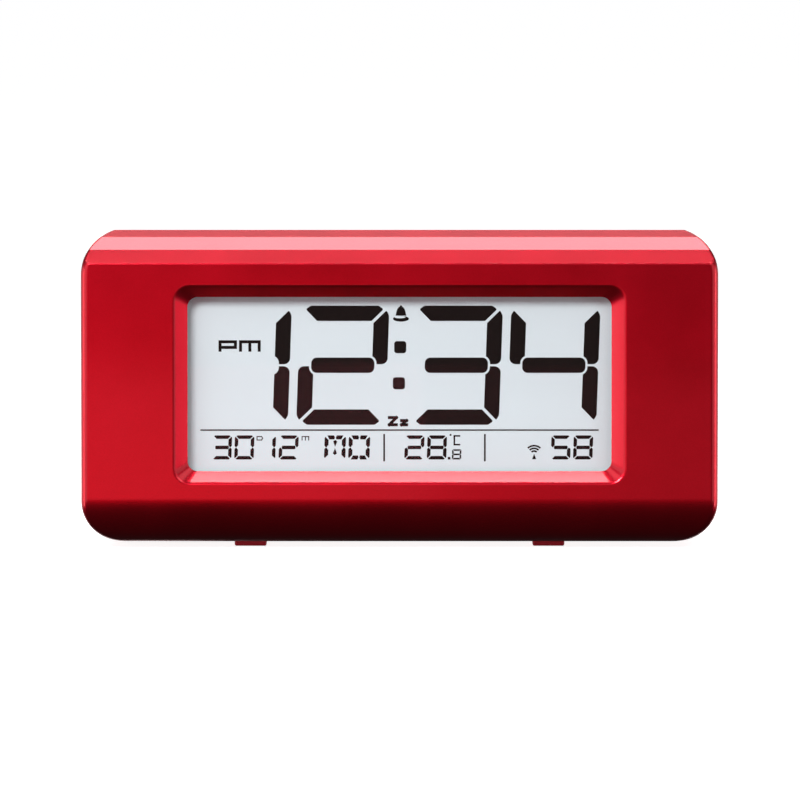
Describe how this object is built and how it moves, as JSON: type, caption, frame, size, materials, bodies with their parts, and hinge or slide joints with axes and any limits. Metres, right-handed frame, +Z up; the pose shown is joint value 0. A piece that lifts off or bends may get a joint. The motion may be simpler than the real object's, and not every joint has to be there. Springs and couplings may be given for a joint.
{
  "type": "radio-controlled alarm clock",
  "caption": "Desktop alarm clock: red two-shell case with bevelled window, digit display, snooze bar on top, rear keys, alarm slider and battery door.",
  "frame": {"origin": "on the table under the middle of the case, at the level of the feet", "axes": "+X to the right seen from the front, +Y from the display to the rear keys, +Z up"},
  "size_m": [0.137, 0.044, 0.0685],
  "materials": {
    "red_case": "satin metallic red lacquer",
    "red_foot": "moulded",
    "red_key": "moulded",
    "clear_lens": "polished",
    "display_glass": "polished",
    "polariser_film": "film",
    "display_field": "satin film",
    "segment_ink": "flat",
    "white_plastic": "moulded",
    "black_foam": "foam",
    "strip_rubber": "layered",
    "board_green": "solder mask",
    "black_plastic": "moulded",
    "capacitor_sleeve": "sleeve",
    "bright_steel": "plated",
    "ferrite": "sintered",
    "copper_wire": "enamelled",
    "brass_disc": "rolled",
    "ceramic": "silvered",
    "wire_sleeve": "sleeve",
    "ribbon_grey": "ribbon",
    "cell_jacket": "printed sleeve"
  },
  "bodies": {
    "case": {"front_housing": "red_case", "rear_housing": "red_case", "feet": "red_foot", "window_lens": "clear_lens", "lcd_front_glass": "display_glass", "lcd_rear_glass": "display_glass", "lcd_front_polariser": "polariser_film", "lcd_rear_polariser": "display_field", "lcd_segments": "segment_ink", "lcd_seal": "segment_ink", "light_guide": "white_plastic", "backlight_leds": "white_plastic", "lcd_holder": "white_plastic", "lens_tape": "black_foam", "display_gasket": "black_foam", "zebra_strip": "strip_rubber", "main_board": "board_green", "key_board": "board_green", "snooze_board": "board_green", "receiver_module": "board_green", "controller_chip": "black_plastic", "key_switches": "black_plastic", "snooze_switch": "black_plastic", "temperature_sensor": "black_plastic", "board_capacitors": "capacitor_sleeve", "housing_screws": "bright_steel", "board_screws": "bright_steel", "key_board_screws": "bright_steel", "snooze_board_screws": "bright_steel", "quartz_crystal": "bright_steel", "slide_switch": "bright_steel", "link_contact": "bright_steel", "positive_contact": "bright_steel", "negative_contact": "bright_steel", "ferrite_rod": "ferrite", "antenna_coil": "copper_wire", "antenna_leads": "copper_wire", "piezo_disc": "brass_disc", "piezo_ceramic": "ceramic", "piezo_leads": "wire_sleeve", "power_leads": "wire_sleeve", "key_ribbon": "ribbon_grey", "snooze_ribbon": "ribbon_grey", "upper_battery": "cell_jacket", "lower_battery": "cell_jacket"},
    "snooze": {"snooze_bar": "red_key", "snooze_plunger": "white_plastic"},
    "set": {"set_key": "red_key", "set_plunger": "white_plastic"},
    "up": {"up_key": "red_key", "up_plunger": "white_plastic"},
    "down": {"down_key": "red_key", "down_plunger": "white_plastic"},
    "alarm": {"alarm_key": "red_key", "alarm_plunger": "white_plastic"},
    "wave": {"wave_key": "red_key", "wave_plunger": "white_plastic"},
    "alarm_switch": {"alarm_slider": "red_key"},
    "door": {"battery_door": "red_case"}
  },
  "joints": [
    {"name": "snooze_press", "type": "slide", "parent": "case", "child": "snooze", "axis": [0, 0, -1], "range_m": [0, 0.001], "stiffness_N_per_m": 400, "springref_m": -0.001},
    {"name": "set_press", "type": "slide", "parent": "case", "child": "set", "axis": [0, -1, 0], "range_m": [0, 0.0008], "stiffness_N_per_m": 400, "springref_m": -0.001},
    {"name": "up_press", "type": "slide", "parent": "case", "child": "up", "axis": [0, -1, 0], "range_m": [0, 0.0008], "stiffness_N_per_m": 400, "springref_m": -0.001},
    {"name": "down_press", "type": "slide", "parent": "case", "child": "down", "axis": [0, -1, 0], "range_m": [0, 0.0008], "stiffness_N_per_m": 400, "springref_m": -0.001},
    {"name": "alarm_press", "type": "slide", "parent": "case", "child": "alarm", "axis": [0, -1, 0], "range_m": [0, 0.0008], "stiffness_N_per_m": 400, "springref_m": -0.001},
    {"name": "wave_press", "type": "slide", "parent": "case", "child": "wave", "axis": [0, -1, 0], "range_m": [0, 0.0008], "stiffness_N_per_m": 400, "springref_m": -0.001},
    {"name": "alarm_slide", "type": "slide", "parent": "case", "child": "alarm_switch", "axis": [1, 0, 0], "range_m": [0, 0.004]},
    {"name": "door_swing", "type": "hinge", "parent": "case", "child": "door", "pos_m": [0, 0.02105, 0.0054], "axis": [-1, 0, 0], "range_deg": [0, 90]}
  ]
}
